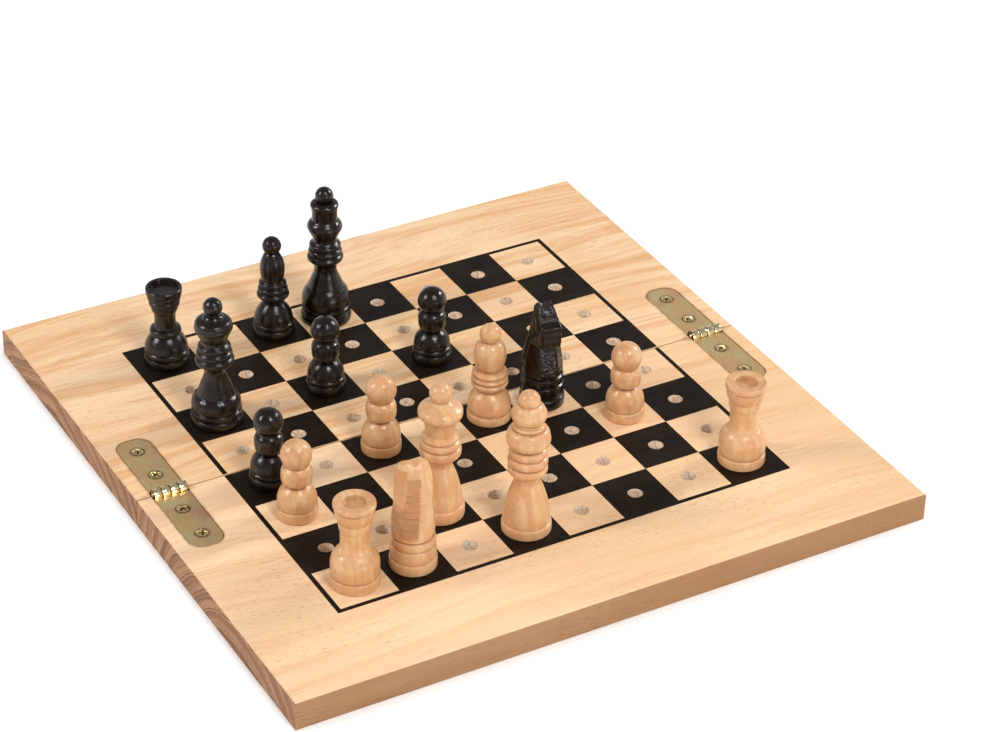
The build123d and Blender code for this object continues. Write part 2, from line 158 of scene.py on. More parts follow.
def pine(name, heart, lean, taper, contrast, lines):
    """Varnished pine. Pale early wood darkens through each year to a soft orange line; broad warm
    streaks, fine fibres and short resin marks run along the plank; sawn edges and ends are browner,
    drilled holes raw."""
    finish = Finish(name)
    places = finish.places()
    season, chance, flow = growth_rings(finish, places, heart, lean, taper, 6.0)
    late = finish.steps(season, (0.0, 0.0), (0.45, 0.06), (0.75, 0.45), (0.88, 1.0), (0.95, 0.6), (1.0, 0.0))
    clear = finish.noise(finish.stretched(places, (0.013, 0.035, 0.035), (5, 5, 5)), 1.0)
    broken = finish.noise(finish.stretched(places, (0.05, 1.1, 1.1), (1, 7, 3)), 3.0, 0.6)
    force = finish.sum("MULTIPLY", finish.between(chance, 0.0, 1.2), finish.between(clear, 0.3, 0.7))
    force = finish.sum("MULTIPLY", force, finish.between(broken, 0.30, 0.62))
    line = finish.sum("MULTIPLY", late, force)

    fibre = finish.noise(finish.stretched(places, (0.10, 3.4, 3.4)), 4.0, 0.66)
    streak = finish.noise(finish.stretched(flow, (0.011, 0.19, 0.19)), 4.0, 0.60)
    narrow = finish.noise(finish.stretched(flow, (0.03, 0.9, 0.9), (4, 2, 8)), 3.0, 0.6)
    blush = finish.noise(finish.stretched(flow, (0.012, 0.10, 0.10), (8, 3, 1)), 2.0, 0.5)
    cloud = finish.noise(finish.stretched(places, (0.012, 0.02, 0.02)), 2.0)
    resin = finish.noise(finish.stretched(places, (0.34, 3.0, 3.0)), 1.0, 0.4)
    resin_zone = finish.noise(finish.stretched(places, (0.02, 0.05, 0.05), (9, 1, 4)), 1.0)
    mark = finish.sum("MULTIPLY", finish.between(resin, 0.63, 0.73), finish.between(resin_zone, 0.42, 0.60))

    face = finish.blend(finish.between(cloud, 0.32, 0.68), (0.94, 0.675, 0.42), (0.88, 0.585, 0.325))
    face = finish.tint(face, finish.between(blush, 0.45, 0.7), 0.5, (0.90, 0.56, 0.36))
    face = finish.tint(face, finish.between(streak, 0.43, 0.66), contrast, (0.76, 0.40, 0.175))
    face = finish.tint(face, finish.between(narrow, 0.52, 0.74), contrast * 0.8, (0.70, 0.37, 0.16))
    face = finish.tint(face, line, lines, (0.62, 0.30, 0.115))
    face = finish.tint(face, finish.between(fibre, 0.5, 0.82), 0.30, (0.62, 0.34, 0.155))
    face = finish.tint(face, mark, 0.6, (0.34, 0.15, 0.06))

    normal = finish.add("TexCoord", (), "Normal")
    leaning = finish.vector("ABSOLUTE", normal)
    end_share, edge_share = [
        finish.between(finish.add("SeparateXYZ", (leaning,), axis), 0.45, 0.8) for axis in range(2)]
    pores = finish.noise(finish.stretched(places, (0.6, 3.4, 3.4)), 3.0, 0.7)
    stain = finish.noise(finish.stretched(places, (0.3, 0.12, 0.16), (2, 2, 6)), 3.0, 0.6)
    end = finish.blend(finish.steps(season, (0.0, 0.0), (0.3, 0.2), (0.75, 1.0), (0.94, 0.85), (1.0, 0.0)),
                       (0.58, 0.31, 0.155), (0.22, 0.095, 0.040))
    end = finish.tint(end, finish.between(stain, 0.42, 0.7), 0.45, (0.30, 0.14, 0.075))
    end = finish.tint(end, finish.between(pores, 0.4, 0.8), 0.7, (0.13, 0.06, 0.03))
    edge = finish.blend(0.92, face, (0.39, 0.285, 0.195), "MULTIPLY")
    edge_mark = finish.noise(finish.stretched(places, (0.24, 2.0, 2.0), (3, 8, 2)), 1.0, 0.4)
    edge = finish.tint(edge, finish.between(edge_mark, 0.67, 0.76), 0.6, (0.10, 0.045, 0.02))
    colour = finish.blend(edge_share, face, edge)
    colour = finish.blend(end_share, colour, end)

    # Each hinge leaf's pocket has a browner line round it, where the cutter has burnt the edge.
    from_hinge = finish.vector("ABSOLUTE", finish.vector(
        "SUBTRACT", finish.vector("ABSOLUTE", places), (HINGE_MIDDLE, 0, 0)))
    past_corner = finish.vector("MAXIMUM", finish.vector("SUBTRACT", from_hinge, POCKET_CORNER), (0, 0, 0))
    outside = finish.vector("LENGTH", past_corner, output="Value")
    burn = finish.sum("MULTIPLY", finish.without(finish.between(outside, 4.9, 5.7)), finish.sum(
        "MULTIPLY_ADD", finish.between(streak, 0.4, 0.6), 0.45, 0.40))
    level = finish.add("SeparateXYZ", (places,), 2)
    burn = finish.sum("MULTIPLY", burn, finish.sum("GREATER_THAN", level, 6.0))
    colour = finish.blend(burn, colour, (0.34, 0.15, 0.05))

    # A drilled hole shows raw, fluffy wood round the middle of each square, below the face.
    square = finish.vector("WRAP", places, (SQUARE, SQUARE, 100), (0, 0, -100))
    square = finish.vector("SUBTRACT", square, (SQUARE / 2, SQUARE / 2, 0))
    square = finish.vector("MULTIPLY", square, (1, 1, 0))
    inside = finish.sum("LESS_THAN", finish.vector("LENGTH", square, output="Value"), HOLE_RADIUS)
    inside = finish.sum("MULTIPLY", inside, finish.sum("GREATER_THAN", level, 0.5))
    for axis, limit in ((0, PATTERN_EDGE), (1, PATTERN_EDGE), (2, 9.96)):
        distance = finish.sum("ABSOLUTE", finish.add("SeparateXYZ", (places,), axis))
        inside = finish.sum("MULTIPLY", inside, finish.sum("LESS_THAN", distance, limit))
    fluff = finish.noise(finish.stretched(places, (1.5, 1.5, 1.0)), 3.0, 0.65)
    raw = finish.blend(finish.between(fluff, 0.38, 0.66), (1.0, 0.88, 0.73), (0.72, 0.50, 0.34))
    colour = finish.blend(inside, colour, raw)

    sawn = finish.sum("MAXIMUM", finish.sum("MAXIMUM", end_share, edge_share), inside)
    roughness = finish.add("Mix", {0: sawn, 2: finish.add("MapRange", {
        "Value": fibre, "To Min": 0.34, "To Max": 0.50}), 3: 0.72})
    height = finish.sum("MULTIPLY_ADD", line, 0.35, finish.sum("MULTIPLY", fibre, finish.add(
        "Mix", {0: sawn, 2: 0.55, 3: 1.6})))
    return finish.surface(colour, roughness, height, 0.00006, Specular_IOR_Level=0.42)


for board, heart, lean, taper, contrast, lines in (
        ("front_board", (-18, 84, 24), (0, 0.02, 0.05), 0.10, 0.30, 0.85),
        ("back_board", (30, -66, 38), (0, -0.03, -0.04), -0.08, 0.85, 0.6)):
    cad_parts[board].material_slots[0].material = pine(
        "varnished_" + board, heart, lean, taper, contrast, lines)


# ---- The printed pattern
# A thin film of black ink, printed on the bare pine before it was varnished. The wood's fibres show through
# it as faint brown lines, and it wears a little thin. The line round the squares is the same print.

def black_ink(name):
    """Warm black over wood: the fibres' noise lifts the ink's colour towards brown and shows in its gloss."""
    finish = Finish(name)
    places = finish.places()
    fibre = finish.noise(finish.stretched(places, (0.10, 3.0, 3.0)), 4.0, 0.6)
    cloud = finish.noise(finish.stretched(places, (0.04, 0.09, 0.09)), 3.0)
    speck = finish.noise(finish.stretched(places, (2.2, 5.0, 5.0)), 2.0, 0.6)
    colour = finish.blend(finish.between(fibre, 0.42, 0.8), (0.0070, 0.0042, 0.0026), (0.036, 0.020, 0.010))
    colour = finish.tint(colour, finish.between(cloud, 0.4, 0.75), 0.6, (0.022, 0.014, 0.008))
    colour = finish.tint(colour, finish.between(speck, 0.68, 0.8), 0.6, (0.15, 0.09, 0.045))
    roughness = finish.add("MapRange", {"Value": fibre, "To Min": 0.36, "To Max": 0.56})
    return finish.surface(colour, roughness, fibre, 0.00005, Specular_IOR_Level=0.10)


ink = black_ink("black_ink")
for half in ("front", "back"):
    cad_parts[half + "_print"].material_slots[0].material = ink


# ---- The hinges
# Two small brass strap hinges, let into the face and rolled round a pin at the fold. The flat straps are
# tumbled to a dull satin and have tarnished in clouds; the rolled knuckles, pins and screws are bright.

MILLIMETRE = 0.001
LEAF_TOP = 9.9
PIN_HEIGHT = 10.25
KNUCKLE_PITCH = 2.925                  # one knuckle and the gap after it
SCREW_PLACES = (10.5, 25.0)            # from the fold, on either side of it
SCREW_HEAD = 2.2                       # radius of the dome


def strap_brass(name):
    """Dull brass with clouds of tarnish and brush lines along the strap, polished near the pin's line,
    with painted shade in a ring round each screw and in the gaps between the knuckles."""
    finish = Finish(name)
    places = finish.places()
    cloud = finish.noise(finish.stretched(places, (0.20, 0.09, 0.2)), 4.0, 0.62)
    patch = finish.noise(finish.stretched(places, (0.14, 0.12, 0.2), (3, 5, 2)), 3.0, 0.6)
    brush = finish.noise(finish.stretched(places, (5.0, 0.35, 5.0)), 3.0, 0.6)
    dent = finish.noise(finish.stretched(places, (0.30, 0.22, 0.3), (1, 4, 9)), 2.0, 0.5)
    spot = finish.noise(finish.stretched(places, (0.9, 0.9, 0.9), (7, 3, 1)), 2.0, 0.5)
    from_pin = finish.vector("LENGTH", finish.vector("MULTIPLY", finish.vector(
        "SUBTRACT", places, (0, 0, PIN_HEIGHT)), (0, 1, 1)), output="Value")
    rolled = finish.without(finish.between(from_pin, 2.1, 2.6))
    dull = finish.blend(finish.between(cloud, 0.34, 0.66), (1.0, 0.80, 0.43), (0.92, 0.62, 0.28))
    dull = finish.tint(dull, finish.between(patch, 0.48, 0.66), 0.9, (0.96, 0.58, 0.33))
    dull = finish.tint(dull, finish.between(spot, 0.62, 0.8), 0.5, (0.42, 0.25, 0.09))
    near_screw, far_screw = SCREW_PLACES
    between_screws = (HINGE_MIDDLE, (near_screw + far_screw) / 2, 0)
    from_screw = finish.vector("SUBTRACT", finish.vector("ABSOLUTE", places), between_screws)
    from_screw = finish.vector("ABSOLUTE", from_screw)
    from_screw = finish.vector("SUBTRACT", from_screw, (0, (far_screw - near_screw) / 2, 0))
    from_screw = finish.vector("LENGTH", finish.vector("MULTIPLY", from_screw, (1, 1, 0)), output="Value")
    # Painted shade: a dark ring round each screw stands for the shadow in its countersink.
    dull = finish.tint(dull, finish.without(finish.between(from_screw, 2.3, 2.9)), 0.7,
                       (0.20, 0.11, 0.04))
    colour = finish.blend(rolled, dull, (0.98, 0.84, 0.50))
    along = finish.sum("ABSOLUTE", finish.sum("SUBTRACT", finish.sum("ABSOLUTE", finish.add(
        "SeparateXYZ", (places,), 0)), HINGE_MIDDLE))
    from_gap = finish.sum("PINGPONG", along, KNUCKLE_PITCH / 2)
    # Painted shade: the gaps between the knuckles are darkened.
    knuckle_gap_shade = finish.sum("MULTIPLY", rolled, finish.without(finish.between(from_gap, 0.10, 0.26)))
    colour = finish.blend(knuckle_gap_shade, colour, (0.10, 0.06, 0.03))
    satin = finish.add("MapRange", {"Value": cloud, "From Min": 0.3, "From Max": 0.7,
                                    "To Min": 0.34, "To Max": 0.50})
    roughness = finish.add("Mix", {0: rolled, 2: satin, 3: 0.12})
    height = finish.sum("MULTIPLY_ADD", dent, 3.5, brush)
    return finish.surface(colour, roughness, height, 0.00003, Metallic=1.0)


def bright_brass(name):
    """Polished brass with small scratches, and painted shade in the screws' crosses and round their heads."""
    finish = Finish(name)
    places = finish.places()
    scratch = finish.noise(finish.stretched(places, (2.0, 2.0, 2.0)), 4.0, 0.6)
    colour = finish.blend(finish.between(scratch, 0.35, 0.7), (0.98, 0.80, 0.42), (0.84, 0.60, 0.25))
    # Painted shade: darker down in the screws' crosses and round the edges of their heads.
    screw_shade = finish.add("Attribute", {}, "Fac", attribute_name="screw_shade")
    colour = finish.tint(colour, screw_shade, 0.9, (0.09, 0.045, 0.018))
    roughness = finish.add("MapRange", {"Value": scratch, "To Min": 0.08, "To Max": 0.22})
    return finish.surface(colour, roughness, scratch, 0.00002, Metallic=1.0)


def eased_copy(node, width):
    """A merged copy of a plain sheet-metal solid, its flats joined up and its sharp edges broken."""
    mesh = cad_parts[node].data.copy()
    copy = bpy.data.objects.new("raw_" + node, mesh)
    bpy.context.scene.collection.objects.link(copy)
    copy.modifiers.new("merge", "WELD").merge_threshold = 0.01 * MILLIMETRE
    flats = copy.modifiers.new("flats", "DECIMATE")
    flats.decimate_type, flats.angle_limit = "DISSOLVE", math.radians(2)
    ease = copy.modifiers.new("ease", "BEVEL")
    ease.width, ease.segments, ease.limit_method, ease.angle_limit = width, 2, "ANGLE", math.radians(40)
    made = bpy.data.meshes.new_from_object(copy.evaluated_get(bpy.context.evaluated_depsgraph_get()))
    made.materials.clear()
    bpy.data.objects.remove(copy)
    return made


def closed_skin(name, grid, bottom, top):
    """A closed surface from rows of points, each row a ring that runs anticlockwise seen from above, with
    a single point below the first row and one above the last."""
    rows, segments = grid.shape[:2]
    number = np.arange(rows * segments).reshape(rows, segments)
    after = np.roll(number, -1, axis=1)
    walls = np.stack([number[:-1], after[:-1], after[1:], number[1:]], axis=-1).reshape(-1, 4)
    below = np.stack([after[0], number[0], np.full(segments, rows * segments)], axis=-1)
    above = np.stack([number[-1], after[-1], np.full(segments, rows * segments + 1)], axis=-1)
    mesh = bpy.data.meshes.new(name)
    points = np.vstack([grid.reshape(-1, 3), [bottom, top]])
    mesh.from_pydata(points.tolist(), [], walls.tolist() + below.tolist() + above.tolist())
    mesh.shade_smooth()
    return mesh


def dome_height(radius):
    """A screw's low dome: highest in the middle, falling with the square of the distance from it."""
    return 0.06 + 0.26 * (1 - (radius / SCREW_HEAD) ** 2)


def screw_grid(place, turn):
    """A raised countersunk head with a cross recess, and its shank. A polar grid: rows go from the tip up the
    shank and the cone and in over the low dome. The recess is as deep as the nearer of two crossed troughs,
    each with steep sides and a floor that rises to its ends."""
    side = np.array([(0.9, -6.3), (1.0, -6.0), (1.0, -1.1), (2.1, -0.12), (2.25, 0.0), (SCREW_HEAD, 0.06)])
    inward = np.linspace(2.12, 0.06, 34)
    dome = np.stack([inward, dome_height(inward)], axis=1)
    profile = np.vstack([side, dome])
    angle = np.linspace(0, 2 * math.pi, 96, endpoint=False)
    x, y = profile[:, :1] * np.cos(angle), profile[:, :1] * np.sin(angle)
    z = np.repeat(profile[:, 1:], len(angle), axis=1)
    trough = [np.clip((0.36 - abs(across)) / 0.16, 0, 1)
              * np.clip(1.25 * (1 - (abs(along) / 1.55) ** 2), 0, 1)
              for along, across in ((x, y), (y, x))]
    z = z - 0.95 * np.maximum(*trough) * (profile[:, 1:] > 0.05)
    c, s = math.cos(turn), math.sin(turn)
    return np.stack([place[0] + c * x - s * y, place[1] + s * x + c * y, place[2] + z], axis=-1) * MILLIMETRE


straps, bright = strap_brass("satin_strap_brass"), bright_brass("bright_brass")
for end in ("left", "right"):
    for half in ("front", "back"):
        node = f"{end}_hinge_{half}_leaf"
        strap = bpy.data.objects.new("eased_" + node, eased_copy(node, 0.14 * MILLIMETRE))
        bpy.context.scene.collection.objects.link(strap)
        strap.data.materials.append(straps)
        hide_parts(node)
        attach(strap, half + "_half")
    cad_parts[f"{end}_hinge_pin"].material_slots[0].material = bright

for half, side in (("front", -1), ("back", 1)):
    places = [(x, side * distance, LEAF_TOP)
              for x in (-HINGE_MIDDLE, HINGE_MIDDLE) for distance in SCREW_PLACES]
    grids = [screw_grid(place, math.radians(37 * (number + 1))) for number, place in enumerate(places)]
    parts = [closed_skin("screw", grid, grid[0].mean(0), grid[-1].mean(0)) for grid in grids]
    offsets = np.cumsum([0] + [len(part.vertices) for part in parts])
    points = [vertex.co[:] for part in parts for vertex in part.vertices]
    faces = [[corner + offset for corner in face.vertices]
             for part, offset in zip(parts, offsets) for face in part.polygons]
    merged = bpy.data.meshes.new(half + "_cross_screws")
    merged.from_pydata(points, [], faces)
    merged.shade_smooth()
    merged.materials.append(bright)
    offset = np.array(points) / MILLIMETRE - np.repeat(places, [len(part.vertices) for part in parts], axis=0)
    away = np.hypot(offset[:, 0], offset[:, 1])
    sunk = dome_height(away) - offset[:, 2]
    # Painted shade: how deep each point lies in the cross recess, or how far out past the dome's rim, for the
    # brass to darken there.
    screw_shade = np.clip(np.maximum(sunk / 0.4, (away - 1.95) / 0.2), 0, 1).astype(np.float32)
    merged.attributes.new("screw_shade", "FLOAT", "POINT").data.foreach_set("value", screw_shade)
    for part in parts:
        bpy.data.meshes.remove(part)
    screws = bpy.data.objects.new(half + "_cross_screws", merged)
    bpy.context.scene.collection.objects.link(screws)
    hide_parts(half + "_hinge_screws")
    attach(screws, half + "_half")


# ---- The pawns
# Turned from a square stick of light hardwood, one piece with the peg below. A pawn is a foot ring, a bell, a
# small collar and a ball. Light pawns are dipped in clear varnish, dark ones in black stain and then varnish.

PLAYING_FACE = 10.0
PEG = [(0, -6.0), (2.0, -6.0), (2.4, -5.6), (2.4, 0)]      # every man's peg: radius and height above the face


def foot(radius, height):
    """Stations of the plain ring at the bottom, eased below, and of the groove above it."""
    return [(radius - 0.4, 0), (radius, 0.4), (radius, height - 0.5, 0.08), (radius - 0.2, height - 0.15),
            (radius - 0.55, height)]


def ball(radius, middle, neck):
    """Stations of a ball on a neck: one arc from the neck's edge over to the top of the ball."""
    below = math.sqrt(radius ** 2 - neck ** 2)
    turn = math.pi / 2 + math.asin(below / radius)
    return [(neck, middle - below), (0, middle + radius, radius * (1 - math.cos(turn / 2)))]


def turned_profile(stations, softness=0.07, count=300):
    """The outline from the bottom of the peg to the top. Each stretch between two stations is a circular
    arc whose bulge the second one gives. The outline is walked in even steps and averaged with its
    neighbours under a bell curve, which rounds its corners as sanding does, mirrored past the axis so
    that the ends stay level. Points are then kept closer together where it bends more."""
    table = np.array([(*s, 0) if len(s) == 2 else s for s in PEG + stations], float)
    start, end = table[:-1, None, :2], table[1:, None, :2]
    bulge = np.where(table[1:, 2] == 0, 1e-6, table[1:, 2])[:, None]
    share = np.linspace(0, 1, 240, endpoint=False)[None, :]
    chord = np.linalg.norm(end - start, axis=2)
    half_turn = 2 * np.arctan(2 * np.abs(bulge) / chord)
    swept = (2 * share - 1) * half_turn
    radius = chord / 2 / np.sin(half_turn)
    along = (end - start) / chord[..., None]
    outward = np.stack([along[..., 1], -along[..., 0]], axis=-1)
    middle = (start + end) / 2
    rise = radius * (np.cos(swept) - np.cos(half_turn)) * np.sign(bulge)
    points = (middle + along * (radius * np.sin(swept))[..., None] + outward * rise[..., None]).reshape(-1, 2)
    points = np.vstack([points, table[-1:, :2]])
    steps = np.concatenate([[0], np.cumsum(np.linalg.norm(np.diff(points, axis=0), axis=1))])
    stride = 0.02
    even = np.arange(0, steps[-1], stride)
    walk = np.stack([np.interp(even, steps, points[:, axis]) for axis in (0, 1)], axis=1)
    reach = int(4 * softness / stride)
    bell = np.exp(-0.5 * (np.arange(-reach, reach + 1) * stride / softness) ** 2)
    bell /= bell.sum()
    mirror = np.array([-1, 1])
    padded = np.vstack([walk[1:reach + 1][::-1] * mirror, walk, walk[-reach - 1:-1][::-1] * mirror])
    smooth = np.stack([np.convolve(padded[:, axis], bell, "valid") for axis in (0, 1)], axis=1)
    tangent = np.gradient(smooth, axis=0)
    heading = np.unwrap(np.arctan2(tangent[:, 1], tangent[:, 0]))
    effort = np.cumsum(1 + 9 * np.minimum(np.abs(np.gradient(heading)) / stride, 6))
    picks = np.linspace(effort[0], effort[-1], count)
    kept = np.stack([np.interp(picks, effort, smooth[:, axis]) for axis in (0, 1)], axis=1)
    kept[0, 0] = kept[-1, 0] = 0
    return kept * MILLIMETRE


def mark_groove_shade(mesh, radii, highest=60.0):
    """Stores on each point how deep it lies in a groove, from 0 to 1, which the wood uses as a share of
    painted
    shade: how far its radius falls short of the widest later row within 1.1 mm of its height and of the
    widest earlier one, whichever is the smaller. The inside of a cup counts as a shallow groove."""
    heights = np.array([v.co.z for v in mesh.vertices])[:radii.size].reshape(radii.shape)[:, 0] / MILLIMETRE
    heights = heights - PLAYING_FACE
    near = np.abs(heights[None, :] - heights[:, None]) < 1.1
    rows = np.arange(len(heights))
    later = rows[None, :] >= rows[:, None]
    widest = radii.max(1)[None, :] * np.ones(near.shape)
    above = np.where(near & later, widest, 0).max(1)
    below = np.where(near & ~later, widest, 0).max(1)
    groove_shade = np.clip((np.minimum(above, below) - radii.mean(1)) / 0.42, 0, 1) * (heights < highest)
    in_cup = (rows > heights.argmax()) * np.clip((heights.max() - heights - 0.3) / 0.6, 0, 1)
    groove_shade = np.maximum(groove_shade, 0.38 * in_cup)
    values = np.concatenate([np.repeat(groove_shade, radii.shape[1]), [0, 0]]).astype(np.float32)
    mesh.attributes.new("groove_shade", "FLOAT", "POINT").data.foreach_set("value", values)


def turned_mesh(name, profile, place, segments=96):
    """A surface of revolution: radius times the cosine and sine of an even turn, a point at each pole."""
    angle = np.linspace(0, 2 * math.pi, segments, endpoint=False)
    rows = profile[1:-1]
    radius, height = rows[:, :1], rows[:, 1:]
    grid = np.stack(np.broadcast_arrays(radius * np.cos(angle), radius * np.sin(angle), height), axis=-1)
    grid = grid + np.array(place)
    poles = np.array([[0, 0, profile[0, 1]], [0, 0, profile[-1, 1]]]) + np.array(place)
    mesh = closed_skin(name, grid, *poles)
    mark_groove_shade(mesh, np.repeat(radius, segments, axis=1) / MILLIMETRE)
    return mesh


def turned_wood(name, pale):
    """Turned hardwood. The stick's growth rings are those of a tree whose heart is off to one side,
    parallel to the man's axis; fine fibres run up the man; the tool has left faint rings. Light men are
    clear-varnished, and dark ones stained nearly black, with the fibres a little browner. The grooves and
    cups carry painted shade, and end grain that a saw has cut is rougher and, on light men, browner."""
    finish = Finish(name)
    places = finish.places()
    drift = finish.noise(finish.stretched(places, (0.045, 0.045, 0.012)), 2.0, 0.5, 1)
    moved = finish.drifted(places, drift, (26, 26, 0))
    across = finish.vector("LENGTH", finish.vector("MULTIPLY", moved, (1, 0.32, 0.02)), output="Value")
    season = finish.sum("FRACT", finish.sum("DIVIDE", across, 3.1))
    late = finish.steps(season, (0.0, 0.0), (0.5, 0.1), (0.86, 1.0), (0.95, 0.4), (1.0, 0.0))
    fibre = finish.noise(finish.stretched(places, (1.5, 1.5, 0.10)), 4.0, 0.62)
    fleck = finish.noise(finish.stretched(places, (2.4, 2.4, 0.5)), 2.0, 0.5)
    tool = finish.noise(finish.stretched(places, (0.02, 0.02, 3.2)), 3.0, 0.6)
    cloud = finish.noise(finish.stretched(places, (0.06, 0.06, 0.02)), 2.0)
    groove_shade = finish.add("Attribute", {}, "Fac", attribute_name="groove_shade")
    sawn = finish.add("Attribute", {}, "Fac", attribute_name="sawn")
    cuts = finish.noise(finish.stretched(places, (0.15, 0.15, 2.2), (2, 2, 2)), 3.0, 0.65)
    blotch = finish.noise(finish.stretched(places, (0.26, 0.26, 0.17), (5, 1, 7)), 2.0, 0.55, 1)
    rosy = finish.add("SeparateXYZ", (blotch,), 0)
    golden = finish.add("SeparateXYZ", (blotch,), 1)
    if pale:
        colour = finish.blend(finish.between(cloud, 0.3, 0.7), (0.70, 0.415, 0.205), (0.61, 0.315, 0.135))
        colour = finish.tint(colour, finish.between(rosy, 0.42, 0.66), 0.55, (0.71, 0.335, 0.165))
        colour = finish.tint(colour, finish.between(golden, 0.44, 0.66), 0.50, (0.79, 0.54, 0.285))
        colour = finish.tint(colour, late, 0.30, (0.50, 0.23, 0.09))
        colour = finish.tint(colour, finish.between(fibre, 0.45, 0.8), 0.18, (0.54, 0.26, 0.11))
        colour = finish.tint(colour, finish.between(fleck, 0.64, 0.76), 0.35, (0.45, 0.22, 0.095))
        # Painted shade: darker in the grooves and inside the cups, where shade falls.
        colour = finish.tint(colour, groove_shade, 0.72, (0.38, 0.16, 0.055))
        colour = finish.tint(colour, sawn, 0.78, (0.47, 0.215, 0.088))
        colour = finish.tint(colour, sawn, finish.sum("MULTIPLY", finish.between(cuts, 0.46, 0.66), 0.60),
                             (0.34, 0.145, 0.058))
        roughness = finish.add("MapRange", {"Value": rosy, "To Min": 0.20, "To Max": 0.40})
        relief = 0.00004
    else:
        colour = finish.blend(finish.between(fibre, 0.45, 0.8), (0.0030, 0.0020, 0.0014),
                              (0.030, 0.016, 0.0070))
        colour = finish.tint(colour, late, 0.5, (0.012, 0.007, 0.004))
        colour = finish.tint(colour, finish.between(cloud, 0.4, 0.75), 0.5, (0.013, 0.008, 0.005))
        # Painted shade: darker in the grooves and inside the cups, where shade falls.
        colour = finish.tint(colour, groove_shade, 0.7, (0.004, 0.003, 0.002))
        roughness = finish.add("MapRange", {"Value": fibre, "To Min": 0.09, "To Max": 0.22})
        relief = 0.00010
    roughness = finish.sum("MULTIPLY_ADD", sawn, 0.25, roughness)
    height = finish.sum("MULTIPLY_ADD", tool, 0.6, finish.sum("MULTIPLY", fibre, 0.7))
    height = finish.sum("MULTIPLY_ADD", finish.sum("MULTIPLY", sawn, cuts), 2.4, height)
    return finish.surface(colour, roughness, height, relief, Specular_IOR_Level=0.5 if pale else 0.42)


wood_of = {"white": turned_wood("clear_turned_wood", True), "black": turned_wood("black_stained_wood", False)}


def square_middle(file, rank):
    """The top of a square's hole, counted in files from the left and ranks from the front."""
    return ((file - 3.5) * SQUARE * MILLIMETRE, (rank - 3.5) * SQUARE * MILLIMETRE, PLAYING_FACE * MILLIMETRE)


def set_up(name, mesh):
    """Puts a finished man on the board: its wood, its body, and the plain solid that it stands for."""
    man = bpy.data.objects.new("turned_" + name, mesh)
    bpy.context.scene.collection.objects.link(man)
    colour = name.split("_")[0]
    mesh.materials.append(wood_of[colour])
    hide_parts(name)
    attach(man, name + "_man")


def turned_man(name, profile, file, rank):
    """A man that is turned all the way up, on its square."""
    set_up(name, turned_mesh(name, profile, square_middle(file, rank)))


white_pawn = turned_profile(foot(6.6, 3.9) + [
    (6.3, 4.3), (6.4, 6.2, 0.05), (3.3, 11.9, 0.8),
    (4.9, 13.5, 0.2), (5.0, 16.2, 0.1), (4.35, 18.4, 0.2), (3.8, 18.9),
] + ball(5.05, 22.9, 3.8))
black_pawn = turned_profile(foot(6.6, 3.7) + [
    (6.2, 4.1), (6.3, 5.4, 0.1), (5.9, 5.7), (6.2, 6.3), (3.0, 11.7, 0.85),
    (4.5, 13.3, 0.25), (4.7, 16.2, 0.1), (4.1, 18.3, 0.2), (3.5, 18.8),
] + ball(4.85, 23.0, 3.5))
for name, profile, file, rank in (
        ("white_pawn_left", white_pawn, 0, 2), ("white_pawn_middle", white_pawn, 2, 3),
        ("white_pawn_right", white_pawn, 6, 2), ("black_pawn_left", black_pawn, 0, 3),
        ("black_pawn_middle", black_pawn, 2, 5), ("black_pawn_right", black_pawn, 4, 5)):
    turned_man(name, profile, file, rank)


# ---- The rooks
# Turned like the pawns, with a waisted tower and a shallow cup cut into the top. The light rook is stout
# with a plain drum; the dark one comes from another batch, with a collar at the waist and a narrower rim.

white_rook = turned_profile(foot(7.7, 3.8) + [
    (7.5, 4.2), (7.7, 7.4, 0.08), (5.7, 12.4, 0.6), (5.4, 12.6), (4.55, 16.0, -0.25), (4.55, 20.6),
    (4.9, 20.8), (5.1, 23.4, 0.1), (4.95, 23.7), (5.35, 24.0), (6.2, 27.9, 0.3), (5.95, 28.2), (6.6, 28.6),
    (6.65, 29.9, 0.05), (6.1, 30.3, 0.15), (4.1, 30.2), (3.7, 29.9, 0.1), (3.4, 28.4), (0, 28.2),
])
black_rook = turned_profile(foot(7.6, 3.2) + [
    (7.3, 3.6), (7.4, 5.3, 0.12), (6.9, 5.7), (7.3, 6.2), (4.7, 11.3, 0.55), (5.2, 11.8), (5.35, 12.7, 0.1),
    (4.9, 13.7, 0.1), (3.8, 14.2), (3.55, 17.6, -0.05), (4.0, 20.4, -0.1), (4.3, 20.6), (4.6, 22.2, 0.08),
    (4.4, 22.5), (5.1, 22.9), (5.3, 24.6, 0.08), (5.05, 24.9), (5.6, 25.3), (5.75, 26.8, 0.08), (5.5, 27.1),
    (6.1, 27.4), (6.15, 29.1, 0.04), (5.9, 29.4), (4.9, 29.4), (4.5, 28.0), (0, 27.8),
])
for name, profile, file, rank in (
        ("white_rook_left", white_rook, 0, 0), ("white_rook_right", white_rook, 7, 0),
        ("black_rook", black_rook, 0, 7)):
    turned_man(name, profile, file, rank)


# ---- The bishops
# Turned from one stick with the peg: a slim stem, three rounded rings one on another and a long drop-shaped
# head with a bead on its tip. The same light hardwood and the same dips as the pawns.

def rings(radii, bottom, height):
    """Stations of rounded rings, one on another, each with a fine groove above it."""
    stations = []
    for number, radius in enumerate(radii):
        low, high = bottom + number * height, bottom + (number + 1) * height
        stations += [(radius, low + 0.22), (radius, high - 0.35, 0.35), (radius - 0.5, high)]
    return stations


